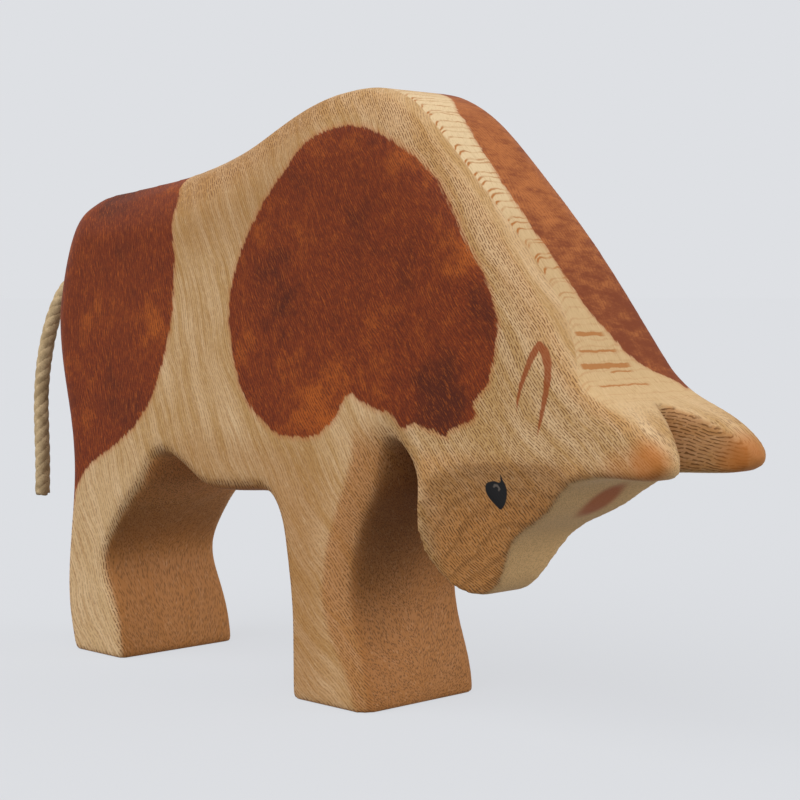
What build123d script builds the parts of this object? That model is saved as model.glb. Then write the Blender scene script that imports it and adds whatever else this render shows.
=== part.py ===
from build123d import *
from math import pi, radians, tan
from typing import NamedTuple
import os

# A bull with a lowered head, sawn from one plank and carved, with a cord tail glued into its rump.
# +X is the way the bull faces, +Y its left side, +Z up. The origin is on the floor, under its middle.

# Overall sizes, in millimetres
plank_thickness = 30.0
body_length = 163.0
hump_height = 112.6

# Turning points of the side outline: distance in front of the rump, as a share of the body's length,
# and height, as a share of the hump's
rump_place_shares = (0, 0.6217)
crown_place_shares = (0.0963, 0.8552)
hump_place_shares = (0.5687, 1)
nape_place_shares = (0.8847, 0.5560)
horn_tip_place_shares = (1, 0.4316)
brow_place_shares = (0.9000, 0.4032)
muzzle_place_shares = (0.7129, 0.2025)
jaw_place_shares = (0.6613, 0.2975)
throat_place_shares = (0.6301, 0.4405)
belly_place_shares = (0.4184, 0.3375)
groin_place_shares = (0.2313, 0.3837)
tail_place_shares = (0, 0.7149)

# Ends of the soles: distance in front of the rump, as a share of the body's length
hind_heel_share = 0.0374
hind_toe_share = 0.1515
front_heel_share = 0.4656
front_toe_share = 0.5988

# Rise of the back at the crown, and fall of the forehead under the horns, per length
back_rise_share = 0.07
brow_fall_share = 0.22


class Carving(NamedTuple):
    """A carved edge: its reach in from the outline, and its depth in from the plank's face. A bend
    of 2 makes it a quarter ellipse, and a bend of 1 a flat bevel."""

    width: float
    depth: float
    bend: float = 2


# Carved edges along the outline
leg_edge = Carving(width=3.2, depth=2.8)
toe_edge = Carving(width=1.6, depth=1.6)
rump_edge = Carving(width=5.2, depth=3.3)
back_edge = Carving(width=9.0, depth=6.0, bend=1.4)
hump_edge = Carving(width=12.0, depth=4.9)
nape_edge = Carving(width=4.0, depth=2.2)
horn_edge = Carving(width=1.6, depth=1.8)
face_edge = Carving(width=1.6, depth=1.6)
throat_edge = Carving(width=2.2, depth=2.2)
arch_edge = Carving(width=6.0, depth=1.6, bend=1.3)
front_toe_edge = Carving(width=3.0, depth=1.6, bend=1.3)
belly_edge = Carving(width=3.0, depth=3.0)
sawn_edge = Carving(width=0.0, depth=0.0)

# Notch between the horns: its depth, its width as a share of the plank's thickness, and the round on
# both sides of each blunt tip
notch_depth = 12.4
notch_width_share = 0.623
horn_tip_radius = 2.2

# Tail: the cord, the drilled hole, and the glue around the cord's root
cord_diameter = 3.4
tail_hole_depth = 8.0
glue_film = 0.3
glue_bed = 0.8
glue_recess = 2.0

# Corners of the tail's route after the hole: distances behind its mouth, to the left, and down
tail_corners = (
    (1.8, 0.0, 0.0),
    (11.6, -2.2, 2.0),
    (14.4, -4.4, 8.6),
    (14.8, -6.6, 16.6),
    (14.8, -8.0, 25.6),
    (13.9, -8.6, 34.6),
    (13.5, -8.6, 42.2),
    (14.4, -8.2, 49.3),
)

# Sawing allowance under the feet, and the overrun of every cut
foot_allowance = 2.0
overrun = 5.0

# Depths of the carved sections, as shares of the deepest carving, and points along each stretch
depth_shares = (0, 0.05, 0.19, 0.48, 1)
points_per_stretch = 7

# How long the carving of a leg and of the hump holds before it blends into what follows
long_hold = 3


def place(shares):
    """A point of the side outline, from its distance in front of the rump and its height."""
    forward, up = shares
    return Vector(forward * body_length - body_length / 2, up * hump_height)


def sole_end(share):
    """An end of a foot's outline, with the allowance that is sawn off under the sole."""
    return Vector(share * body_length - body_length / 2, -foot_allowance)


# Corners and turning points of the side outline
hind_heel = sole_end(hind_heel_share)
rump = place(rump_place_shares)
crown = place(crown_place_shares)
hump = place(hump_place_shares)
nape = place(nape_place_shares)
horn_tip = place(horn_tip_place_shares)
brow = place(brow_place_shares)
muzzle = place(muzzle_place_shares)
jaw = place(jaw_place_shares)
throat = place(throat_place_shares)
front_toe = sole_end(front_toe_share)
front_heel = sole_end(front_heel_share)
belly = place(belly_place_shares)
groin = place(groin_place_shares)
hind_toe = sole_end(hind_toe_share)

upward = Vector(0, 1)
downward = Vector(0, -1)
onward = Vector(1, 0)
backward = Vector(-1, 0)
along_back = Vector(1, back_rise_share)
under_horns = Vector(-1, -brow_fall_share)


class Stretch(NamedTuple):
    """A stretch of the outline: its ends, the points between as shares of the box that the ends
    span, its direction at each end (None at a corner), and the carving at each end. The carving
    keeps to that of the start for longer where hold is above 1."""

    start: Vector
    end: Vector
    shares: tuple = ()
    leaves: Vector = None
    arrives: Vector = None
    start_edge: Carving = leg_edge
    end_edge: Carving = leg_edge
    hold: float = 1

    def points(self):
        span = self.end - self.start
        between = [
            self.start + Vector(across * span.X, up * span.Y) for across, up in self.shares
        ]
        return [self.start, *between, self.end]

    def carving(self, share):
        blend = share**self.hold
        return Carving(
            self.start_edge.width + blend * (self.end_edge.width - self.start_edge.width),
            self.start_edge.depth + blend * (self.end_edge.depth - self.start_edge.depth),
            self.start_edge.bend + blend * (self.end_edge.bend - self.start_edge.bend),
        )

    def inset(self, share, depth):
        """How far the outline steps in at a depth from the plank's face."""
        edge = self.carving(share)
        if depth >= edge.depth:
            return 0
        reach = 1 - depth / edge.depth
        return edge.width * (1 - (1 - reach**edge.bend) ** (1 / edge.bend))


hind_leg_rear_shares = ((0.28, 0.08), (0.43, 0.29), (0.10, 0.57), (0.46, 0.76), (0.88, 0.90))
rump_shares = ((0.045, 0.32), (0.17, 0.63), (0.40, 0.87), (0.68, 0.965))
back_shares = (
    (0.14, 0.065),
    (0.27, 0.13),
    (0.38, 0.215),
    (0.54, 0.40),
    (0.70, 0.69),
    (0.82, 0.895),
    (0.92, 0.98),
)
neck_shares = ((0.12, 0.03), (0.22, 0.075), (0.36, 0.20), (0.503, 0.35), (0.658, 0.525), (0.817, 0.735))
horn_top_shares = ((0.10, 0.12), (0.22, 0.235), (0.57, 0.455), (0.84, 0.68), (0.96, 0.85))
horn_under_shares = ((0.03, 0.32), (0.10, 0.58), (0.20, 0.71), (0.60, 0.74))
face_shares = (
    (0.10, 0.045),
    (0.21, 0.13),
    (0.37, 0.305),
    (0.49, 0.385),
    (0.57, 0.435),
    (0.65, 0.52),
    (0.74, 0.67),
    (0.83, 0.855),
    (0.90, 0.965),
)
chin_shares = ((0.32, 0.02), (0.54, 0.10), (0.80, 0.345), (0.95, 0.62))
throat_shares = ((-0.08, 0.28), (-0.21, 0.48), (-0.12, 0.65), (0.31, 0.86), (0.70, 0.96))
front_leg_front_shares = (
    (0.13, 0.025),
    (0.30, 0.07),
    (0.73, 0.17),
    (1.27, 0.28),
    (1.67, 0.39),
    (1.95, 0.55),
    (1.70, 0.70),
    (1.30, 0.82),
    (1.06, 0.92),
)
front_leg_rear_shares = ((0.01, 0.25), (0.05, 0.50), (0.20, 0.70), (0.45, 0.90), (0.65, 0.965))
belly_shares = ((0.25, -0.09), (0.46, -0.14), (0.60, -0.05), (0.74, 0.38), (0.88, 0.80))
hind_leg_front_shares = (
    (0.15, 0.035),
    (0.385, 0.105),
    (0.79, 0.215),
    (1.09, 0.315),
    (1.36, 0.41),
    (1.48, 0.49),
    (1.41, 0.575),
    (1.23, 0.715),
    (1.06, 0.86),
)

# Facets that narrow the snout, from the brow to the chin. Each row has a point of the nose's edge and
# a point where the facet leaves the cheek, as shares of the box from brow to muzzle, and half the
# snout's width at the nose's edge, as a share of half the plank.
snout_facet_shares = (
    ((0.10, 0.015), (0.115, -0.12), 0.92),
    ((0.37, 0.31), (0.56, -0.10), 0.67),
    ((0.56, 0.42), (0.85, -0.07), 0.57),
    ((0.74, 0.66), (1.15, 0.09), 0.47),
    ((0.91, 0.97), (1.38, 0.36), 0.34),
    ((1.12, 1.26), (1.54, 0.63), 0.25),
)

outline = (
    Stretch(hind_heel, rump, hind_leg_rear_shares, None, upward, leg_edge, rump_edge, long_hold),
    Stretch(rump, crown, rump_shares, upward, along_back, rump_edge, back_edge),
    Stretch(crown, hump, back_shares, along_back, onward, back_edge, hump_edge),
    Stretch(hump, nape, neck_shares, onward, None, hump_edge, nape_edge, long_hold),
    Stretch(nape, horn_tip, horn_top_shares, None, downward, nape_edge, horn_edge),
    Stretch(horn_tip, brow, horn_under_shares, downward, under_horns, horn_edge, face_edge),
    Stretch(brow, muzzle, face_shares, under_horns, backward, face_edge, face_edge),
    Stretch(muzzle, jaw, chin_shares, backward, upward, face_edge, throat_edge),
    Stretch(jaw, throat, throat_shares, upward, backward, throat_edge, arch_edge),
    Stretch(throat, front_toe, front_leg_front_shares, backward, None, arch_edge, front_toe_edge),
    Stretch(front_toe, front_heel, start_edge=sawn_edge, end_edge=sawn_edge),
    Stretch(front_heel, belly, front_leg_rear_shares, None, backward, leg_edge, belly_edge),
    Stretch(belly, groin, belly_shares, backward, backward, belly_edge, leg_edge),
    Stretch(groin, hind_toe, hind_leg_front_shares, backward, None, leg_edge, toe_edge),
    Stretch(hind_toe, hind_heel, start_edge=sawn_edge, end_edge=sawn_edge),
)

# The outline as sawn, before its edges are carved
curves = []
with BuildLine() as sawn_outline:
    for stretch in outline:
        points = stretch.points()
        if len(points) == 2:
            curves.append(Line(*points))
        else:
            leaves = stretch.leaves or points[1] - points[0]
            arrives = stretch.arrives or points[-1] - points[-2]
            curves.append(Spline(points, tangents=(leaves, arrives), tangent_scalars=(1, 1)))


def inward(curve, share):
    """Direction into the wood at a share of a curve: the outline runs clockwise."""
    direction = curve % share
    return Vector(direction.Y, -direction.X)


def inset_corner(index, depth):
    """Where the stretch at an index starts, once it and the one before it are both stepped in."""
    into_before = inward(curves[index - 1], 1)
    into_after = inward(curves[index], 0)
    inset_before = outline[index - 1].inset(1, depth)
    inset_after = outline[index].inset(0, depth)
    turn = into_before.dot(into_after)
    slant = 1 - turn**2
    same_line_share = 0.01
    if slant < same_line_share:
        return outline[index].start + into_after * inset_after
    by_before = (inset_before - inset_after * turn) / slant
    by_after = (inset_after - inset_before * turn) / slant
    return outline[index].start + into_before * by_before + into_after * by_after


def carved_section(depth):
    """The edges of the outline at a depth from the plank's face."""
    corners = [inset_corner(index, depth) for index in range(len(outline))]
    edges = []
    for index, (stretch, curve) in enumerate(zip(outline, curves)):
        start, end = corners[index], corners[(index + 1) % len(outline)]
        if not stretch.shares:
            edges.append(Line(start, end, mode=Mode.PRIVATE))
            continue
        between = []
        for step in range(1, points_per_stretch):
            share = step / points_per_stretch
            between.append(curve @ share + inward(curve, share) * stretch.inset(share, depth))
        leaves = stretch.leaves or between[0] - start
        arrives = stretch.arrives or end - between[-1]
        ends = {"tangents": (leaves, arrives), "tangent_scalars": (1, 1)}
        edges.append(Spline(start, *between, end, **ends, mode=Mode.PRIVATE))
    return edges


deepest = max(max(s.start_edge.depth, s.end_edge.depth) for s in outline)
depths = [share * deepest for share in depth_shares]
sections = [(plank_thickness / 2 - depth, depth) for depth in depths]
sections += [(-offset, depth) for offset, depth in reversed(sections)]

# Places of the tail hole and of the cord's root in it
tail_rear = place(tail_place_shares)
tail_mouth = Vector(tail_rear.X, 0, tail_rear.Y)
hole_diameter = cord_diameter + 2 * glue_film
hole_floor = tail_mouth + Vector(tail_hole_depth, 0)
cord_root = hole_floor - Vector(glue_bed, 0)

# Wood cut from the left side of the snout: ruled between triangles that stand on the cheek
head_span = muzzle - brow
with BuildPart() as snout_waste:
    for edge_shares, cheek_shares, width_share in snout_facet_shares:
        edge = brow + Vector(edge_shares[0] * head_span.X, edge_shares[1] * head_span.Y)
        cheek = brow + Vector(cheek_shares[0] * head_span.X, cheek_shares[1] * head_span.Y)
        on_nose = Vector(edge.X, width_share * plank_thickness / 2, edge.Y)
        on_cheek = Vector(cheek.X, plank_thickness / 2, cheek.Y)
        slope = (on_nose - on_cheek).normalized()
        past_nose = on_nose + slope * overrun
        past_cheek = on_cheek - slope * overrun
        outside = Vector(past_nose.X, past_cheek.Y, past_nose.Z)
        facet = Plane(past_nose, x_dir=slope, z_dir=slope.cross(outside - past_nose))
        with BuildSketch(facet):
            with BuildLine():
                corners = [facet.to_local_coords(p) for p in (past_nose, outside, past_cheek)]
                Polyline(*corners, close=True)
            make_face()
    loft(ruled=True)
    mirror(about=Plane.XZ)

# Wood cut from between the horns and from round their tips, seen from above
notch_apex = Vector(body_length / 2 - notch_depth, 0)
notch_half_width = notch_width_share * plank_thickness / 2
with BuildSketch() as left_horn:
    with BuildLine():
        Polyline(
            notch_apex,
            notch_apex + Vector(notch_depth, notch_half_width),
            notch_apex + Vector(notch_depth, plank_thickness / 2),
            notch_apex + Vector(0, plank_thickness / 2),
            close=True,
        )
    make_face()
    fillet(left_horn.vertices().group_by(Axis.X)[-1], horn_tip_radius)

with BuildPart() as body:
    for offset, depth in sections:
        with BuildSketch(Plane.XZ.offset(offset)):
            make_face(carved_section(depth))
    loft(ruled=True)
    # Feet sawn flat
    split(bisect_by=Plane.XY, keep=Keep.TOP)
    # Snout narrowed
    add(snout_waste.part, mode=Mode.SUBTRACT)
    # Horns parted
    with BuildSketch(Plane.XY):
        with Locations(notch_apex):
            Rectangle(
                notch_depth + overrun,
                plank_thickness + 2 * overrun,
                align=(Align.MIN, Align.CENTER),
            )
        add(left_horn.sketch, mode=Mode.SUBTRACT)
        add(mirror(left_horn.sketch, about=Plane.XZ, mode=Mode.PRIVATE), mode=Mode.SUBTRACT)
    extrude(amount=hump_height, mode=Mode.SUBTRACT)
    # Hole for the tail, drilled forward from behind the rump
    with BuildSketch(Plane(hole_floor, x_dir=(0, 1, 0), z_dir=(-1, 0, 0))):
        Circle(hole_diameter / 2)
    extrude(amount=tail_hole_depth + overrun, mode=Mode.SUBTRACT)

# Route of the tail, from its root in the hole
tail_route = [cord_root]
for behind, left, down in tail_corners:
    tail_route.append(tail_mouth + Vector(-behind, left, -down))


def widest_radii(route):
    """The largest arcs that fit the corners of a route, each using under half of its runs."""
    run_share = 0.45
    runs = [b - a for a, b in zip(route, route[1:])]
    return [
        run_share * min(a.length, b.length) / tan(radians(a.get_angle(b)) / 2)
        for a, b in zip(runs, runs[1:])
    ]


tail_radii = widest_radii(tail_route)
with BuildPart() as tail_cord:
    with BuildLine() as tail_line:
        FilletPolyline(*tail_route, radius=tail_radii)
    with BuildSketch(Plane(cord_root, x_dir=(0, 1, 0), z_dir=(-1, 0, 0))):
        Circle(cord_diameter / 2)
    sweep()

with BuildPart() as tail_glue:
    with BuildSketch(Plane(hole_floor, x_dir=(0, 1, 0), z_dir=(-1, 0, 0))):
        Circle(hole_diameter / 2)
    extrude(amount=tail_hole_depth - glue_recess)
    with BuildSketch(Plane(cord_root, x_dir=(0, 1, 0), z_dir=(-1, 0, 0))):
        Circle(cord_diameter / 2)
    extrude(amount=tail_hole_depth, mode=Mode.SUBTRACT)

os.makedirs("parts", exist_ok=True)
body.part.label = "body"
export_step(body.part, "parts/body.step")
tail_cord.part.label = "tail_cord"
export_step(tail_cord.part, "parts/tail_cord.step")
tail_glue.part.label = "tail_glue"
export_step(tail_glue.part, "parts/tail_glue.step")

cord_length = tail_line.wires()[0].length
cord_section = pi * cord_diameter**2 / 4
print("tail radii", [round(radius, 1) for radius in tail_radii])
print("tail length", round(cord_length, 1), "volume", round(tail_cord.part.volume, 1))
print("tail section times length", round(cord_section * cord_length, 1))
print("body box", body.part.bounding_box())
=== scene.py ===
from math import cos, pi, radians, sin

import bmesh
import bpy
import numpy as np
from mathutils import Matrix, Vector


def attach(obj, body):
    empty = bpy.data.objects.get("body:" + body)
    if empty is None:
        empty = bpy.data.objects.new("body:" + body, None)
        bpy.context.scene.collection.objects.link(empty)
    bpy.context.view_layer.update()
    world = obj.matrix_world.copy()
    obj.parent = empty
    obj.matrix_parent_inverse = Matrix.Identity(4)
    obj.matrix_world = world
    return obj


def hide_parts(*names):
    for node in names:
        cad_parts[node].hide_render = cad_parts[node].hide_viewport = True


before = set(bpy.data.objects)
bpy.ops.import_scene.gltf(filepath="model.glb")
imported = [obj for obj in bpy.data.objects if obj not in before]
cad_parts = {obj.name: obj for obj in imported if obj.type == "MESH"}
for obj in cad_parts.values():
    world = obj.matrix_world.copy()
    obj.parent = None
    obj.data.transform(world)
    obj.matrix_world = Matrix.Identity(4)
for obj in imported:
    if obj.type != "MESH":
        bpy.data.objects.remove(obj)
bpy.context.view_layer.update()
scene = bpy.context.scene
scene.view_settings.view_transform = "Standard"

# One millimetre, in metres
mm = 0.001


# Camera, at the photograph's viewing angle
view_turn = radians(45.506)
view_rise = radians(3.2)
view_place = Vector((259.089, -245.247, 75.393)) * mm
lens_length = 85
film_width = 36
away = Vector((sin(view_turn) * cos(view_rise), -cos(view_turn) * cos(view_rise), sin(view_rise)))
lens_data = bpy.data.cameras.new("camera")
lens_data.lens = lens_length
lens_data.sensor_width = film_width
lens_data.clip_start = 0.01
lens_data.clip_end = 100
camera = bpy.data.objects.new("camera", lens_data)
camera.location = view_place
camera.rotation_mode = "QUATERNION"
camera.rotation_quaternion = (-away).to_track_quat("-Z", "Y")
scene.collection.objects.link(camera)
scene.camera = camera


# Materials

def tint(red, green, blue):
    """A colour written as screen values from 0 to 255."""
    def linear(value):
        share = value / 255
        return share / 12.92 if share < 0.04045 else ((share + 0.055) / 1.055) ** 2.4

    return (linear(red), linear(green), linear(blue), 1)


class Finish:
    """One material, with short ways to add nodes to it."""

    def __init__(self, name):
        self.material = bpy.data.materials.new(name)
        self.material.use_nodes = True
        self.tree = self.material.node_tree
        self.shader = self.tree.nodes["Principled BSDF"]

    def put(self, socket, value):
        if isinstance(value, bpy.types.NodeSocket):
            self.tree.links.new(value, socket)
        else:
            socket.default_value = value

    def add(self, kind, inputs, **settings):
        node = self.tree.nodes.new(kind)
        for name, value in settings.items():
            setattr(node, name, value)
        for socket, value in inputs.items():
            self.put(node.inputs[socket], value)
        return node

    def sum(self, operation, first, second=0.0, third=0.0):
        values = {0: first, 1: second, 2: third}
        return self.add("ShaderNodeMath", values, operation=operation).outputs[0]

    def vector(self, operation, first, second):
        node = self.add("ShaderNodeVectorMath", {0: first, 1: second}, operation=operation)
        return node.outputs["Value" if operation == "DOT_PRODUCT" else "Vector"]

    def step(self, value, low, high, low_out=0.0, high_out=1.0):
        """A smooth step of a value from one level to another."""
        values = {"Value": value, "From Min": low, "From Max": high, "To Min": low_out, "To Max": high_out}
        node = self.add("ShaderNodeMapRange", values, interpolation_type="SMOOTHSTEP", clamp=True)
        return node.outputs["Result"]

    def noise(self, vector, scale, detail=2.0, roughness=0.5):
        values = {"Vector": vector, "Scale": scale, "Detail": detail, "Roughness": roughness}
        return self.add("ShaderNodeTexNoise", values).outputs

    def mix(self, share, first, second):
        node = self.add("ShaderNodeMix", {}, data_type="RGBA")
        for socket, value in (("Factor_Float", share), ("A_Color", first), ("B_Color", second)):
            self.put(next(s for s in node.inputs if s.identifier == socket), value)
        return next(s for s in node.outputs if s.identifier == "Result_Color")

    def attribute(self, name):
        node = self.add("ShaderNodeAttribute", {}, attribute_name=name, attribute_type="GEOMETRY")
        return node.outputs["Fac"]


# Wood grain: how the rings lean, turn and bow as they pass up the plank, and dish through it
grain_middle = (0, 0, 70)
ring_lean = 0.5
ring_turn = 0.006
ring_bow = 0.0025
ring_dish = -0.8
fibre_run = (0.574, 0, -0.819)

wood_ochre = tint(186, 146, 94)
wood_rose = tint(206, 170, 126)
wood_pale = tint(228, 199, 158)
wood_cream = tint(221, 194, 152)
wood_warm = tint(174, 113, 61)
wood_nose = tint(228, 187, 132)
wood_dark = tint(202, 139, 78)
# Painted shade, for the upper fronts of the front legs under the head
painted_shade_brown = tint(112, 72, 42)
# Painted light, for the tops of the hind legs' front faces inside the arch
painted_light_orange = tint(226, 152, 88)
fleck_brown = tint(112, 74, 42)
ring_brown = tint(160, 112, 60)
line_orange = tint(172, 108, 50)
stain_light = tint(172, 88, 34)
stain_mid = tint(122, 52, 24)
stain_dark = tint(80, 34, 20)
neck_stain_light = tint(178, 106, 56)
neck_stain_dark = tint(124, 60, 30)
toast_brown = tint(182, 108, 46)
smudge_brown = tint(170, 84, 42)
ear_brown = tint(142, 66, 26)
eye_black = tint(24, 23, 25)
# Painted highlight in the eye
painted_glint_grey = tint(112, 102, 94)


def grain_space(wood, place):
    """Place in the grain: across the rings, along the fibres, and through the plank."""
    wander = wood.vector("SUBTRACT", wood.noise(place, 0.06)["Color"], (0.5, 0.5, 0.5))
    place = wood.vector("ADD", place, wood.vector("MULTIPLY", wander, (3.5, 3.5, 3.5)))
    place = wood.vector("SUBTRACT", place, grain_middle)
    x, y, z = wood.add("ShaderNodeSeparateXYZ", {"Vector": place}).outputs
    off_middle = wood.sum("ABSOLUTE", z)
    lean = wood.sum("MULTIPLY_ADD", x, ring_turn, wood.sum("MULTIPLY_ADD", off_middle, ring_bow, ring_lean))
    dished = wood.sum("MULTIPLY_ADD", wood.sum("ABSOLUTE", y), ring_dish, x)
    across = wood.sum("MULTIPLY_ADD", z, lean, dished)
    along = wood.vector("DOT_PRODUCT", place, fibre_run)
    return wood.add("ShaderNodeCombineXYZ", {"X": across, "Y": along, "Z": y}).outputs["Vector"]


# Flecks: the gap between their rows, their pitch along a row, and half their width, in millimetres
fleck_gap = 0.64
fleck_pitch = 1.8
fleck_half_width = 0.12


def fleck_share(wood, place, grain):
    """Fine dashes: in rows along the fibres on the sides, and strewn over the sawn ends."""
    sides = wood.add("ShaderNodeSeparateXYZ", {"Vector": grain}).outputs
    across = sides["X"]
    along = sides["Y"]
    stray = wood.noise(place, 0.8, 2.0)["Color"]
    stray_across, stray_along, fade = wood.add("ShaderNodeSeparateColor", {"Color": stray}).outputs
    row = wood.sum("MULTIPLY_ADD", across, 1 / fleck_gap, stray_across)
    off_row = wood.sum("ABSOLUTE", wood.sum("SUBTRACT", wood.sum("FRACT", row), 0.5))
    line = wood.step(off_row, 1.5 * fleck_half_width / fleck_gap, 0.4 * fleck_half_width / fleck_gap)
    row_number = wood.sum("FLOOR", row)
    shift = wood.add("ShaderNodeTexWhiteNoise", {"W": row_number}, noise_dimensions="1D").outputs["Value"]
    pitch = wood.sum("MULTIPLY_ADD", along, 1 / fleck_pitch, wood.sum("ADD", shift, stray_along))
    off_dash = wood.sum("ABSOLUTE", wood.sum("SUBTRACT", wood.sum("FRACT", pitch), 0.5))
    dash = wood.sum("MULTIPLY", line, wood.step(off_dash, 0.47, 0.33))
    dash = wood.sum("MULTIPLY", dash, wood.step(fade, 0.3, 0.6, 0.45, 1.0))
    cells = {"Vector": wood.vector("MULTIPLY", grain, (3.2, 0.7, 2.4)), "Scale": 1.0, "Randomness": 0.9}
    cell = wood.add("ShaderNodeTexVoronoi", cells).outputs["Distance"]
    strewn = wood.step(cell, 0.52, 0.24)
    return wood.mix(wood.attribute("sawn_end"), dash, strewn)


# Separate rings low on the neck's front: height, half width, and where they start and end across
low_rings = (
    (68.9, 0.34, -7.6, 0.5), (66.1, 0.22, -9.0, 1.6), (63.7, 0.42, -10.4, 3.0), (62.7, 0.14, -4.0, 2.6),
    (60.6, 0.14, -9.5, 4.0),
)


def neck_lines(wood, place, sideways, height):
    """Rings that cross the neck's front and hook down at its near edge, as a share of line tone."""
    down_neck = wood.vector("DOT_PRODUCT", place, (0.69, 0, -0.72))
    inside = wood.sum("MULTIPLY", wood.attribute("strip_edge"), -1.0)
    near_edge = wood.sum("MAXIMUM", wood.sum("SUBTRACT", 2.4, inside), 0.0)
    hook = wood.sum("MULTIPLY", wood.sum("POWER", near_edge, 2.0), 0.2)
    wave = wood.sum("MULTIPLY", wood.noise(place, 0.3)["Fac"], 1.6)
    row = wood.sum("ADD", wood.sum("SUBTRACT", down_neck, hook), wave)
    values = {"W": row, "Scale": 0.62, "Randomness": 0.75}
    rows = wood.add("ShaderNodeTexVoronoi", values, voronoi_dimensions="1D").outputs["Distance"]
    thick = wood.step(inside, 0.5, 3.5, 1.0, 0.65)
    share = wood.step(rows, wood.sum("MULTIPLY", thick, 0.24), 0.05)
    faint = wood.step(wood.noise(place, 0.35)["Fac"], 0.38, 0.58, 0.35, 1.0)
    high_up = wood.step(height, 72.0, 80.0, 0.3, 1.0)
    share = wood.sum("MULTIPLY", wood.sum("MULTIPLY", share, faint), wood.sum("MULTIPLY", high_up, thick))
    for level, half_width, start, end in low_rings:
        wavy = wood.sum("ADD", height, wood.sum("MULTIPLY", wood.noise(place, 0.5)["Fac"], 0.6))
        off = wood.sum("ABSOLUTE", wood.sum("SUBTRACT", wavy, level + 0.3))
        ring = wood.step(off, half_width + 0.08, half_width - 0.1, 0.0, 0.85)
        ring = wood.sum("MULTIPLY", ring, wood.step(sideways, start - 0.5, start + 0.5))
        ring = wood.sum("MULTIPLY", ring, wood.step(sideways, end, end - 2.0))
        share = wood.sum("MAXIMUM", share, ring)
    return share


def stain_tone(wood, place, grain, fleck):
    """Colour inside the stained patches: mottled, with streaks along the fibres."""
    mottle = wood.noise(place, 0.16, 6.0, 0.66)["Fac"]
    mottle = wood.sum("MULTIPLY", mottle, 0.95)
    depth = wood.sum("MULTIPLY_ADD", wood.attribute("stain_depth"), 0.24, mottle)
    tone = wood.mix(wood.step(depth, 0.2, 0.48), stain_light, stain_mid)
    tone = wood.mix(wood.step(depth, 0.5, 0.84), tone, stain_dark)
    streaks = wood.noise(wood.vector("MULTIPLY", grain, (3.0, 0.5, 1.0)), 1.0, 5.0, 0.8)["Fac"]
    tone = wood.mix(wood.step(streaks, 0.5, 0.64, 0.0, 0.7), tone, stain_light)
    tone = wood.mix(wood.step(streaks, 0.5, 0.36, 0.0, 0.6), tone, stain_dark)
    return wood.mix(wood.sum("MULTIPLY", fleck, 0.7), tone, stain_dark)


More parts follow.
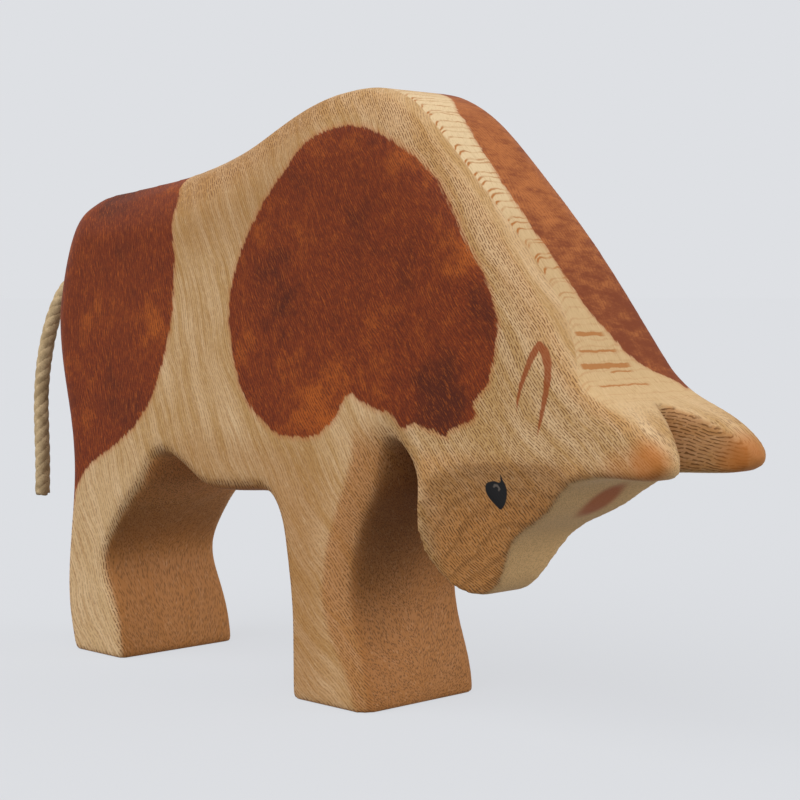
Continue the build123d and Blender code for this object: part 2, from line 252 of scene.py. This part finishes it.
def carved_wood():
    """Pale flecked hardwood with stained patches and painted marks, and with painted shade, painted light
    and a painted highlight.
    """
    wood = Finish("carved_wood")
    place = wood.add("ShaderNodeTexCoord", {}).outputs["Object"]
    place = wood.vector("MULTIPLY", place, (1 / mm, 1 / mm, 1 / mm))
    sides = wood.add("ShaderNodeSeparateXYZ", {"Vector": place}).outputs
    sideways = sides["Y"]
    height = sides["Z"]
    grain = grain_space(wood, place)
    neck = wood.step(wood.attribute("strip_edge"), 0.25, -0.25)
    neck = wood.sum("MULTIPLY", neck, wood.attribute("neck_front"))
    snout = wood.attribute("snout")

    # Ground tone, with painted shade and painted light in the arches between the legs
    cloud = wood.noise(place, 0.06, 3.0)["Fac"]
    growth = wood.noise(wood.vector("MULTIPLY", grain, (0.32, 0.04, 0.1)), 1.0, 4.0, 0.6)["Fac"]
    ground = wood.mix(wood.step(growth, 0.36, 0.6), wood_ochre, wood_rose)
    ground = wood.mix(wood.step(growth, 0.56, 0.74, 0.0, 0.4), ground, wood_pale)
    ground = wood.mix(wood.sum("MULTIPLY", wood.attribute("pale_leg"), 0.4), ground, wood_pale)
    # Darker towards the belly and high on the flank, between the rump and the shoulder
    ground = wood.mix(wood.sum("MULTIPLY", wood.attribute("flank_darker"), 0.4), ground, ring_brown)
    ground = wood.mix(neck, ground, wood_cream)
    low_neck = wood.sum("MULTIPLY", neck, wood.step(height, 98.0, 82.0, 0.0, 0.55))
    ground = wood.mix(low_neck, ground, wood_ochre)
    ground = wood.mix(wood.sum("MULTIPLY", wood.attribute("warm"), 0.9), ground, wood_warm)
    # Painted shade: darker on the upper fronts of the front legs, under the head
    ground = wood.mix(wood.sum("MULTIPLY", wood.attribute("painted_shade_leg_front"), 0.5), ground, painted_shade_brown)
    # Painted light: lighter at the top of the hind legs' front faces, inside the arch between the legs
    ground = wood.mix(wood.sum("MULTIPLY", wood.attribute("painted_light_arch"), 0.6), ground, painted_light_orange)
    ground = wood.mix(wood.sum("MULTIPLY", snout, 0.9), ground, wood_dark)
    ground = wood.mix(wood.attribute("nose"), ground, wood_nose)

    # Fibres, growth rings and flecks
    fibre = wood.noise(wood.vector("MULTIPLY", grain, (2.8, 0.5, 1.6)), 1.0, 4.0, 0.65)["Fac"]
    ground = wood.mix(wood.step(fibre, 0.5, 0.72, 0.0, 0.35), ground, ring_brown)
    pale = wood.step(fibre, 0.46, 0.3, 0.0, 0.3)
    pale = wood.sum("MULTIPLY", pale, wood.sum("MULTIPLY_ADD", wood.attribute("warm"), -0.4, 1.0))
    ground = wood.mix(pale, ground, wood_pale)
    across = wood.add("ShaderNodeSeparateXYZ", {"Vector": grain}).outputs["X"]
    ring = wood.sum("FRACT", wood.sum("MULTIPLY_ADD", across, 0.6, wood.sum("MULTIPLY", cloud, 2.0)))
    ring_strength = wood.step(wood.noise(place, 0.16)["Fac"], 0.36, 0.6, 0.1, 0.42)
    ring_strength = wood.sum("MULTIPLY", ring_strength, wood.attribute("rings"))
    ground = wood.mix(wood.sum("MULTIPLY", wood.step(ring, 0.62, 0.95), ring_strength), ground, ring_brown)
    fleck = fleck_share(wood, place, grain)
    ground = wood.mix(wood.sum("MULTIPLY", fleck, wood.attribute("fleck")), ground, fleck_brown)
    lines = wood.sum("MULTIPLY", neck_lines(wood, place, sideways, height), neck)
    ground = wood.mix(lines, ground, line_orange)

    # Contours on the snout's sides
    depth = wood.sum("ADD", wood.sum("ABSOLUTE", sideways), wood.sum("MULTIPLY", cloud, 5.0))
    contour = wood.step(wood.sum("FRACT", wood.sum("MULTIPLY", depth, 0.62)), 0.6, 0.95)
    ground = wood.mix(wood.sum("MULTIPLY", contour, wood.sum("MULTIPLY", snout, 0.28)), ground, fleck_brown)

    # Stained patches, with ragged edges along the grain
    ragged_space = wood.vector("MULTIPLY", grain, (1.6, 0.35, 1))
    ragged = wood.sum("SUBTRACT", wood.noise(ragged_space, 1.0, 3.0, 0.6)["Fac"], 0.5)
    edge = wood.sum("ADD", wood.attribute("stain_edge"), wood.sum("MULTIPLY", ragged, 2.0))
    stain = stain_tone(wood, place, grain, fleck)
    band_space = wood.vector("MULTIPLY", place, (0.5, 0.2, 0.5))
    band = wood.noise(band_space, 1.0, 6.0, 0.72)["Fac"]
    band = wood.sum("ADD", band, wood.step(height, 95.0, 66.0, -0.04, 0.16))
    neck_stain = wood.mix(wood.step(band, 0.34, 0.72), neck_stain_light, neck_stain_dark)
    neck_stain = wood.mix(wood.sum("MULTIPLY", fleck, 0.6), neck_stain, neck_stain_dark)
    stain = wood.mix(wood.attribute("neck_front"), stain, neck_stain)
    ground = wood.mix(wood.step(edge, 1.2, 0.0, 0.0, 0.3), ground, stain_light)
    ground = wood.mix(wood.step(edge, 0.25, -0.25), ground, stain)

    # Toasted horn tips, smudged forehead, ears, and eyes with a painted highlight
    ground = wood.mix(wood.sum("MULTIPLY", wood.attribute("toast"), 0.85), ground, toast_brown)
    ground = wood.mix(wood.sum("MULTIPLY", wood.attribute("smudge"), 0.85), ground, smudge_brown)
    brushed = wood.sum("ADD", wood.attribute("ear_edge"), wood.sum("MULTIPLY", ragged, 0.6))
    ground = wood.mix(wood.step(brushed, 0.12, -0.25, 0.0, 0.85), ground, ear_brown)
    eye = wood.step(wood.attribute("eye_edge"), 0.1, -0.1)
    ground = wood.mix(eye, ground, eye_black)
    # Painted highlight on the eye
    ground = wood.mix(wood.step(wood.attribute("painted_glint_edge"), 0.12, -0.15), ground, painted_glint_grey)

    wood.put(wood.shader.inputs["Base Color"], ground)
    wood.put(wood.shader.inputs["Roughness"], wood.sum("SUBTRACT", 0.6, wood.sum("MULTIPLY", eye, 0.25)))
    wood.shader.inputs["Specular IOR Level"].default_value = 0.12
    height = wood.sum("SUBTRACT", wood.sum("MULTIPLY", fibre, 0.6), wood.sum("MULTIPLY", fleck, 0.5))
    bump = wood.add("ShaderNodeBump", {"Strength": 0.25, "Distance": 0.05 * mm, "Height": height})
    wood.put(wood.shader.inputs["Normal"], bump.outputs["Normal"])
    return wood.material


def twisted_fibre():
    """Natural fibre, spun into strands."""
    fibre = Finish("twisted_fibre")
    place = fibre.add("ShaderNodeTexCoord", {}).outputs["Object"]
    cloud = fibre.noise(place, 500.0, 3.0)["Fac"]
    tone = fibre.mix(fibre.step(cloud, 0.35, 0.65), tint(172, 148, 112), tint(202, 177, 138))
    fine = fibre.noise(place, 3500.0, 2.0)["Fac"]
    tone = fibre.mix(fibre.step(fine, 0.5, 0.75, 0.0, 0.4), tone, tint(128, 106, 74))
    fibre.put(fibre.shader.inputs["Base Color"], tone)
    fibre.shader.inputs["Roughness"].default_value = 0.9
    fibre.shader.inputs["Specular IOR Level"].default_value = 0.15
    bump = fibre.add("ShaderNodeBump", {"Strength": 0.4, "Distance": 0.08 * mm, "Height": fine})
    fibre.put(fibre.shader.inputs["Normal"], bump.outputs["Normal"])
    return fibre.material


def cured_glue():
    """Wood glue, cured to a cloudy amber."""
    glue = Finish("cured_glue")
    place = glue.add("ShaderNodeTexCoord", {}).outputs["Object"]
    cloud = glue.noise(place, 900.0, 2.0)["Fac"]
    tone = glue.mix(glue.step(cloud, 0.4, 0.6), tint(196, 168, 112), tint(216, 194, 146))
    glue.put(glue.shader.inputs["Base Color"], tone)
    glue.shader.inputs["Roughness"].default_value = 0.35
    return glue.material


# Tail: its route from the root in the hole, as in the solids

tail_route = (
    (-74.3, 0.0, 80.5),
    (-83.3, 0.0, 80.5),
    (-93.1, -2.2, 78.5),
    (-95.9, -4.4, 71.9),
    (-96.3, -6.6, 63.9),
    (-96.3, -8.0, 54.9),
    (-95.4, -8.6, 45.9),
    (-95.0, -8.6, 38.3),
    (-95.9, -8.2, 31.2),
)


def curve_object(name, kind, points):
    """A curve of one open spline through, or steered by, points."""
    curve = bpy.data.curves.new(name, "CURVE")
    curve.dimensions = "3D"
    spline = curve.splines.new(kind)
    spline.points.add(len(points) - 1)
    for knot, point in zip(spline.points, points):
        knot.co = (*point, 1)
    piece = bpy.data.objects.new(name, curve)
    scene.collection.objects.link(piece)
    return piece


def made_mesh(piece):
    """The mesh that an object shows, once the object is gone."""
    bpy.context.view_layer.update()
    mesh = bpy.data.meshes.new_from_object(piece.evaluated_get(bpy.context.evaluated_depsgraph_get()))
    bpy.data.objects.remove(piece)
    return mesh


def route_points():
    piece = curve_object("tail_line", "NURBS", [Vector(point) * mm for point in tail_route])
    spline = piece.data.splines[0]
    spline.order_u = 3
    spline.use_endpoint_u = True
    spline.resolution_u = 24
    return [vertex.co.copy() for vertex in made_mesh(piece).vertices]


def evenly_spaced(points, gap):
    """Places along a line at an even gap."""
    line = np.array(points)
    run = np.concatenate(([0], np.cumsum(np.linalg.norm(np.diff(line, axis=0), axis=1))))
    marks = np.linspace(0, run[-1], int(run[-1] / gap) + 1)
    return np.stack([np.interp(marks, run, line[:, axis]) for axis in range(3)], axis=1), marks


# Vertices nearer than this are one
merge_gap = 0.001 * mm

# Strands of the tail, and the gap between the places along them
strand_step = 0.4 * mm
strand_count = 3
strand_radius = 1.35 * mm
strand_offset = 0.33 * mm
lay_length = 7.6 * mm


def strand(line, marks, number):
    """One strand, wound round the line."""
    ahead = np.gradient(line, axis=0)
    ahead /= np.linalg.norm(ahead, axis=1)[:, None]
    side = np.array((0.0, 1.0, 0.0))
    wound = []
    for place, direction, mark in zip(line, ahead, marks):
        side = side - direction * side.dot(direction)
        side /= np.linalg.norm(side)
        other = np.cross(direction, side)
        turn = 2 * pi * (number / strand_count + mark / lay_length)
        wound.append(place + strand_offset * (side * cos(turn) + other * sin(turn)))
    piece = curve_object(f"strand_{number}", "POLY", wound)
    curve = piece.data
    curve.bevel_depth = strand_radius
    curve.bevel_resolution = 4
    curve.use_fill_caps = True
    return made_mesh(piece)


def cord_tail():
    points = route_points()
    line, marks = evenly_spaced(points, strand_step)
    shape = bmesh.new()
    for number in range(strand_count):
        shape.from_mesh(strand(line, marks, number))
    bmesh.ops.remove_doubles(shape, verts=shape.verts, dist=merge_gap)
    mesh = bpy.data.meshes.new("cord_tail")
    shape.to_mesh(mesh)
    shape.free()
    mesh.shade_smooth()
    tail = bpy.data.objects.new("cord_tail", mesh)
    scene.collection.objects.link(tail)
    mesh.materials.clear()
    mesh.materials.append(twisted_fibre())
    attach(tail, "root")
    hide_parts("tail_cord")


# Marks on the body. Outlines are places in the side view, in millimetres

shoulder_outline = (
    (3.7, 104.5), (10.3, 105.4), (17.0, 104.4), (23.8, 101.1), (29.6, 97.1), (34.0, 92.8), (37.5, 87.9),
    (39.9, 84.0), (43.3, 79.8), (46.3, 74.5), (47.6, 70.3), (47.2, 66.2), (46.1, 62.5), (45.0, 59.8),
    (42.1, 57.3), (42.6, 54.8), (39.2, 53.2), (37.2, 52.6), (35.8, 51.4), (32.0, 52.3), (28.2, 53.1),
    (25.0, 52.2), (22.2, 54.6), (18.6, 55.1), (14.6, 56.6), (11.8, 57.6), (9.3, 55.3), (7.4, 52.7),
    (3.4, 50.1), (-1.6, 49.1), (-8.6, 49.7), (-14.4, 53.2), (-17.6, 56.3), (-19.9, 61.0), (-21.4, 66.7),
    (-22.0, 71.5), (-21.0, 77.2), (-18.6, 82.9), (-15.0, 88.4), (-10.4, 93.9), (-5.5, 98.3), (-1.6, 102.1),
)
right_rump_outline = (
    (-40.8, 98.1), (-39.1, 94.0), (-39.5, 89.1), (-38.9, 82.6), (-39.3, 76.3), (-40.0, 70.3),
    (-42.0, 64.3), (-44.1, 59.3), (-47.1, 54.2), (-51.5, 49.5), (-57.4, 45.5), (-64.4, 41.8),
    (-69.8, 38.5), (-73.4, 34.0), (-78.0, 28.0), (-95.0, 28.0), (-95.0, 115.0), (-42.0, 115.0),
)
left_rump_outline = (
    (-45.0, 99.0), (-43.0, 92.0), (-45.0, 84.0), (-47.5, 76.0), (-46.0, 68.0), (-49.0, 60.0),
    (-55.0, 53.0), (-62.0, 47.0), (-68.0, 40.0), (-74.0, 33.0), (-80.0, 27.0), (-95.0, 27.0),
    (-95.0, 115.0), (-46.0, 115.0),
)
left_neck_outline = (
    (12.0, 112.0), (7.0, 101.0), (4.0, 89.0), (6.0, 77.0), (14.0, 66.0), (26.0, 58.0), (39.0, 52.5),
    (50.0, 50.0), (58.0, 52.0), (63.5, 57.0), (70.0, 62.0), (90.0, 70.0), (90.0, 120.0), (30.0, 126.0),
    (14.0, 122.0),
)
# Where the left patch and the bare strip beside it stop on the neck's front: height, and place across
neck_stop = (
    (60.5, 11.5), (61.3, 10.1), (62.4, 7.5), (63.8, 4.8), (65.8, 2.6), (68.9, 1.1), (72.5, -0.9),
    (77.1, -2.1), (81.8, -2.5), (86.5, -3.1), (91.4, -3.1), (96.2, -2.5), (101.5, -1.5), (108.0, 0.7),
    (111.5, 4.9),
)
strip_stop = (
    (57.0, -15.0), (60.9, -13.3), (64.8, -10.6), (68.6, -8.5), (71.5, -7.6), (75.0, -7.0), (82.9, -7.4),
    (86.7, -8.1), (92.0, -8.5), (97.7, -8.8), (105.5, -8.8), (109.3, -8.0),
)
# Front of the front legs: height, and place forward
leg_front = (
    (0.0, 16.1), (7.0, 14.6), (13.5, 12.5), (21.0, 11.3), (29.5, 12.7), (35.0, 14.7), (41.0, 17.5),
    (46.0, 19.7),
)
# Clumps of stain: place in the side view, reach, and how much darker they are
stain_clumps = (
    (-7.5, 76.0, 13.0, 0.7), (18.0, 88.0, 16.0, 0.5), (33.0, 57.5, 13.0, 1.6), (44.0, 72.0, 9.0, 0.8),
    (3.9, 54.8, 11.0, -1.2), (26.0, 99.0, 10.0, -0.8), (-19.0, 64.0, 7.0, -0.5), (38.0, 82.0, 7.0, -0.5),
    (-57.0, 55.0, 13.0, 0.7), (-55.0, 86.0, 11.0, 0.5), (-47.0, 71.0, 9.0, -0.5), (-64.0, 72.0, 9.0, -0.4),
    (-62.0, 98.0, 14.0, 1.2),
)
eye_outline = (
    (47.4, 45.6), (47.5, 44.6), (47.7, 43.5), (47.4, 42.3), (46.3, 40.6), (44.6, 39.1), (43.8, 39.8),
    (43.1, 40.7), (42.7, 41.7), (42.8, 42.7), (43.4, 43.6), (44.4, 44.0), (45.5, 44.2), (46.3, 44.0),
    (46.9, 44.3),
)
# Brush strokes of the ears, and the eye's painted highlight drawn as a stroke: places in the side view, and
# half the stroke's width there
# The eye's painted highlight
painted_glint_stroke = (
    (44.8, 43.1, 0.12), (45.3, 43.45, 0.22), (45.8, 43.4, 0.25), (46.0, 42.9, 0.2), (45.6, 42.5, 0.1),
)
ear_rear_stroke = (
    (56.3, 67.2, 0.7), (55.3, 65.6, 0.72), (54.1, 63.0, 0.6), (52.9, 60.5, 0.48), (52.2, 58.0, 0.3),
    (52.0, 56.2, 0.08),
)
ear_front_stroke = (
    (56.3, 67.2, 0.7), (57.5, 66.0, 0.75), (58.3, 64.1, 0.8), (58.6, 62.0, 0.75), (58.3, 59.5, 0.65),
    (57.7, 56.9, 0.55), (57.0, 54.3, 0.4), (56.5, 52.4, 0.08),
)


def rounded(outline, steps=5):
    """A closed line that passes smoothly through the outline's points."""
    points = np.array(outline, float)
    before, after, next_after = (np.roll(points, shift, axis=0) for shift in (1, -1, -2))
    parts = []
    for share in np.arange(steps) / steps:
        parts.append(
            0.5 * (
                2 * points
                + (after - before) * share
                + (2 * before - 5 * points + 4 * after - next_after) * share**2
                + (3 * points - before - 3 * after + next_after) * share**3
            )
        )
    return np.stack(parts, axis=1).reshape(-1, 2)


def to_segment(places, start, end):
    """Distance of places from a straight segment, and how far along it the nearest point is."""
    run = end - start
    share = np.clip(((places - start) @ run) / max(run @ run, 1e-9), 0, 1)
    return np.linalg.norm(places - start - share[:, None] * run, axis=1), share


def from_outline(places, outline):
    """Distance of places from an outline, negative inside it."""
    line = rounded(outline)
    nearest = np.full(len(places), 1e9)
    inside = np.zeros(len(places), bool)
    for start, end in zip(line, np.roll(line, -1, axis=0)):
        nearest = np.minimum(nearest, to_segment(places, start, end)[0])
        crosses = (start[1] > places[:, 1]) != (end[1] > places[:, 1])
        rise = end[1] - start[1] if end[1] != start[1] else 1e-9
        at = start[0] + (places[:, 1] - start[1]) / rise * (end[0] - start[0])
        inside ^= crosses & (places[:, 0] < at)
    return np.where(inside, -nearest, nearest)


def from_stroke(places, stroke):
    """Distance of places from a stroke's edge, negative inside it."""
    nearest = np.full(len(places), 1e9)
    knots = np.array(stroke)
    for first, second in zip(knots, knots[1:]):
        distance, share = to_segment(places, first[:2], second[:2])
        nearest = np.minimum(nearest, distance - first[2] - share * (second[2] - first[2]))
    return nearest


def smooth_step(value, low, high):
    share = np.clip((value - low) / (high - low), 0, 1)
    return share * share * (3 - 2 * share)


def body_marks(place, facing):
    """Every mark on the body, painted shade and painted light among them, as one number for each vertex."""
    x, y, z = place.T
    side_view = place[:, [0, 2]]
    leftness = smooth_step(y, -12, 12)
    right_rump = from_outline(side_view, right_rump_outline)
    left_rump = from_outline(side_view, left_rump_outline)
    rump = right_rump + leftness * (left_rump - right_rump)
    shoulder = np.where(y < 0, from_outline(side_view, shoulder_outline), far_off)
    stop_height, stop_across = np.array(neck_stop).T
    past_stop = np.interp(z, stop_height, stop_across) - y
    left_neck = np.maximum(past_stop, from_outline(side_view, left_neck_outline))
    marks = {"stain_edge": np.minimum(np.minimum(rump, shoulder), left_neck)}
    marks["stain_depth"] = np.zeros(len(place))
    for across, up, reach, amount in stain_clumps:
        away = np.hypot(x - across, z - up)
        marks["stain_depth"] += amount * smooth_step(away, reach, 0)

    on_side = np.where(np.abs(y) > side_depth, 0, far_off)
    marks["eye_edge"] = from_outline(side_view, eye_outline) + on_side
    # Painted highlight in the eye
    marks["painted_glint_edge"] = from_stroke(side_view, painted_glint_stroke) + on_side
    ears = np.minimum(from_stroke(side_view, ear_rear_stroke), from_stroke(side_view, ear_front_stroke))
    marks["ear_edge"] = ears + on_side

    down_neck = facing @ np.array((0.75, 0, 0.66))
    flatness = np.abs(facing[:, 1])
    marks["neck_front"] = smooth_step(down_neck, 0.72, 0.95)
    marks["neck_front"] *= smooth_step(z, 54, 60) * smooth_step(x, 4, 16)
    stop_height, stop_across = np.array(strip_stop).T
    marks["strip_edge"] = np.abs(y) + np.interp(z, stop_height, stop_across)
    on_strip = smooth_step(marks["strip_edge"], 0.5, -0.5) * marks["neck_front"]
    on_leg = smooth_step(z, 50, 40) * smooth_step(x, 30, 22)
    on_notch = smooth_step(x, 69, 71) * smooth_step(flatness, 0.4, 0.6) * smooth_step(np.abs(y), 13.5, 12)
    leg_ends = smooth_step(np.maximum(np.abs(facing[:, 0]), -facing[:, 2]), 0.45, 0.85) * on_leg
    front_height, front_place = np.array(leg_front).T
    strip_width = 4.5 + 4 * smooth_step(z, 0, 20)
    leg_strip = smooth_step(np.interp(z, front_height, front_place) - x, strip_width, strip_width - 2.5)
    leg_strip *= 0.8 * smooth_step(z, 54, 46) * smooth_step(x, -2, 2) * smooth_step(x, 25, 21)
    # Painted shade: darker on the upper fronts of the front legs, under the head
    marks["painted_shade_leg_front"] = smooth_step(facing[:, 0], 0.6, 0.8) * smooth_step(z, 16, 34) * on_leg
    marks["warm"] = np.maximum(np.maximum(leg_ends, leg_strip), 0.6 * on_notch)
    edges = smooth_step(flatness, 0.995, 0.93) * smooth_step(flatness, 0.25, 0.5)
    front_leg = smooth_step(z, 48, 36) * smooth_step(x, -16, -8) * smooth_step(x, 28, 24)
    marks["warm"] = np.maximum(marks["warm"], 0.2 * np.maximum(edges, front_leg))
    # Darker towards the belly and high on the flank, between the rump and the shoulder
    flank_darker = smooth_step(x, -44, -34) * np.maximum(smooth_step(z, 52, 44), smooth_step(z, 78, 90))
    marks["flank_darker"] = flank_darker * smooth_step(x, 8, -2) * smooth_step(flatness, 0.4, 0.7)
    # Painted light: lighter at the top of the hind legs' front faces, inside the arch between the legs
    marks["painted_light_arch"] = smooth_step(facing[:, 0], 0.4, 0.7)
    marks["painted_light_arch"] *= smooth_step(z, 24, 42) * smooth_step(x, 0, -10)
    marks["pale_leg"] = smooth_step(x, -42, -54) * smooth_step(z, 56, 28) * smooth_step(flatness, 0.4, 0.7)
    on_head = smooth_step(x, 27, 31) * smooth_step(z, 50, 46.5) * smooth_step(x, 74, 64)
    inward = 0.45 + 0.55 * smooth_step(15 - np.abs(y), 0.5, 5)
    marks["snout"] = on_head * smooth_step(flatness, 0.4, 0.75) * inward
    marks["nose"] = smooth_step(flatness, 0.6, 0.3) * smooth_step(x, 30, 36) * smooth_step(z, 52, 46)
    head = smooth_step(x, 14, 36) * smooth_step(flatness, 0.1, 0.5)
    marks["sawn_end"] = smooth_step(flatness, 0.4, 0.2) * (1 - marks["neck_front"])
    bare = np.maximum(on_strip, 0.6 * marks["nose"])
    dense = np.maximum(np.maximum(edges, 0.9 * head), np.maximum(0.5 * marks["sawn_end"], leg_strip))
    marks["fleck"] = (0.38 + 0.6 * dense) * (1 - 0.9 * bare)
    marks["rings"] = smooth_step(flatness, 0.9, 0.99) * (1 - head)

    def near(centre, reach):
        return smooth_step(np.linalg.norm(place - np.array(centre), axis=1), reach, 0.25 * reach)

    right_tip = np.maximum(0.9 * near((79, -15, 48.8), 6), 0.5 * near((74, -15, 46.8), 6))
    left_tip = np.maximum(0.6 * near((75, 15, 47.0), 7), near((80.5, 10, 48.3), 7))
    marks["toast"] = np.maximum(right_tip, left_tip)
    along = (x - 56.5) * 0.77 + (z - 40.8) * 0.64
    smudge = np.sqrt((along / 6.2) ** 2 + ((y - 1.3) / 4.2) ** 2)
    marks["smudge"] = smooth_step(smudge, 1.15, 0.55) * smooth_step(facing[:, 2], 0.1, -0.3) * (x > 40)
    return marks


# Windows of the side view where the painted marks need a finer mesh: lowest and highest corners
eye_window = ((41.5, 38.0), (49.0, 47.0))
ear_window = ((51.0, 51.5), (60.0, 69.0))
window_cuts = 3

# Marks painted on the sides lie farther from the middle plane than this, in millimetres
side_depth = 8
# Distance that stands for far outside a mark, in millimetres
far_off = 50

# Even mesh of the body, and passes of sanding over it
even_size = 0.74 * mm
sanding_passes = 4
sanding_share = 0.5


def carved_body():
    shape = bmesh.new()
    shape.from_mesh(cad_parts["body"].data)
    bmesh.ops.remove_doubles(shape, verts=shape.verts, dist=merge_gap)
    rough = bpy.data.meshes.new("rough_body")
    shape.to_mesh(rough)
    shape.free()
    blank = bpy.data.objects.new("rough_body", rough)
    scene.collection.objects.link(blank)
    remesh = blank.modifiers.new("even", "REMESH")
    remesh.mode = "VOXEL"
    remesh.voxel_size = even_size
    even = made_mesh(blank)

    shape = bmesh.new()
    shape.from_mesh(even)
    axes = {"use_axis_x": True, "use_axis_y": True, "use_axis_z": True}
    for sanding in range(sanding_passes):
        bmesh.ops.smooth_vert(shape, verts=shape.verts, factor=sanding_share, **axes)
    fine = set()
    for face in shape.faces:
        centre = face.calc_center_median() / mm
        for low, high in (eye_window, ear_window):
            if low[0] < centre.x < high[0] and low[1] < centre.z < high[1] and abs(centre.y) > side_depth:
                fine.update(face.edges)
    bmesh.ops.subdivide_edges(shape, edges=list(fine), cuts=window_cuts, use_grid_fill=True)
    many_sided = [face for face in shape.faces if len(face.verts) > 4]
    bmesh.ops.triangulate(shape, faces=many_sided)
    mesh = bpy.data.meshes.new("carved_body")
    shape.to_mesh(mesh)
    shape.free()
    mesh.shade_smooth()
    place = np.empty(len(mesh.vertices) * 3, np.float32)
    mesh.vertices.foreach_get("co", place)
    facing = np.empty(len(mesh.vertices) * 3, np.float32)
    mesh.vertex_normals.foreach_get("vector", facing)
    marks = body_marks(place.reshape(-1, 3).astype(float) / mm, facing.reshape(-1, 3).astype(float))
    for name, values in marks.items():
        layer = mesh.attributes.new(name, "FLOAT", "POINT")
        layer.data.foreach_set("value", np.asarray(values, np.float32))
    body = bpy.data.objects.new("carved_body", mesh)
    scene.collection.objects.link(body)
    mesh.materials.append(carved_wood())
    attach(body, "root")
    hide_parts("body")


cord_tail()
carved_body()
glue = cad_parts["tail_glue"]
glue.data.materials.clear()
glue.data.materials.append(cured_glue())


# Floor, backdrop and light

backdrop = tint(222, 224, 228)
floor_reach = 30
bounce_grey = (0.22, 0.22, 0.22, 1)
shadow_grey = (0.6, 0.612, 0.635, 1)
plain_share = 0.82
sky_white = (0.98, 0.99, 1, 1)
sky_strength = 0.58

floor_shape = bmesh.new()
bmesh.ops.create_grid(floor_shape, x_segments=1, y_segments=1, size=floor_reach)
floor_mesh = bpy.data.meshes.new("floor")
floor_shape.to_mesh(floor_mesh)
floor_shape.free()
floor = bpy.data.objects.new("floor", floor_mesh)
scene.collection.objects.link(floor)
paper = Finish("floor_paper")
paper.shader.inputs["Base Color"].default_value = bounce_grey
paper.shader.inputs["Roughness"].default_value = 1
paper.shader.inputs["Specular IOR Level"].default_value = 0
shaded = paper.add("ShaderNodeBsdfDiffuse", {"Color": shadow_grey}).outputs[0]
plain = paper.add("ShaderNodeEmission", {"Color": backdrop}).outputs[0]
shown = paper.add("ShaderNodeMixShader", {0: plain_share, 1: shaded, 2: plain}).outputs[0]
ray = paper.add("ShaderNodeLightPath", {}).outputs
seen = paper.sum("MAXIMUM", ray["Is Glossy Ray"], ray["Is Transmission Ray"])
seen = paper.sum("MAXIMUM", ray["Is Camera Ray"], seen)
surface = paper.add("ShaderNodeMixShader", {0: seen, 1: paper.shader.outputs[0], 2: shown}).outputs[0]
paper.put(paper.tree.nodes["Material Output"].inputs["Surface"], surface)
floor_mesh.materials.append(paper.material)

world = bpy.data.worlds.new("studio")
scene.world = world
world.use_nodes = True
sky = world.node_tree
sky.nodes.clear()
seen = sky.nodes.new("ShaderNodeBackground")
seen.inputs["Color"].default_value = backdrop
light = sky.nodes.new("ShaderNodeBackground")
light.inputs["Color"].default_value = sky_white
light.inputs["Strength"].default_value = sky_strength
ray = sky.nodes.new("ShaderNodeLightPath")
either = sky.nodes.new("ShaderNodeMath")
either.operation = "MAXIMUM"
sky.links.new(ray.outputs["Is Camera Ray"], either.inputs[0])
sky.links.new(ray.outputs["Is Glossy Ray"], either.inputs[1])
any_seen = sky.nodes.new("ShaderNodeMath")
any_seen.operation = "MAXIMUM"
sky.links.new(either.outputs[0], any_seen.inputs[0])
sky.links.new(ray.outputs["Is Transmission Ray"], any_seen.inputs[1])
choose = sky.nodes.new("ShaderNodeMixShader")
sky.links.new(any_seen.outputs[0], choose.inputs[0])
sky.links.new(light.outputs[0], choose.inputs[1])
sky.links.new(seen.outputs[0], choose.inputs[2])
out = sky.nodes.new("ShaderNodeOutputWorld")
sky.links.new(choose.outputs[0], out.inputs["Surface"])


def soft_lamp(name, towards, strength, spread):
    """A broad soft lamp, far off in one direction from the object."""
    lamp = bpy.data.lights.new(name, "SUN")
    lamp.energy = strength
    lamp.angle = radians(spread)
    holder = bpy.data.objects.new(name, lamp)
    holder.rotation_mode = "QUATERNION"
    holder.rotation_quaternion = Vector(towards).to_track_quat("Z", "Y")
    scene.collection.objects.link(holder)


soft_lamp("key", (-0.1, -0.7, 0.7), 2.0, 70)
soft_lamp("rim", (0.75, 0.55, 0.35), 1.15, 40)
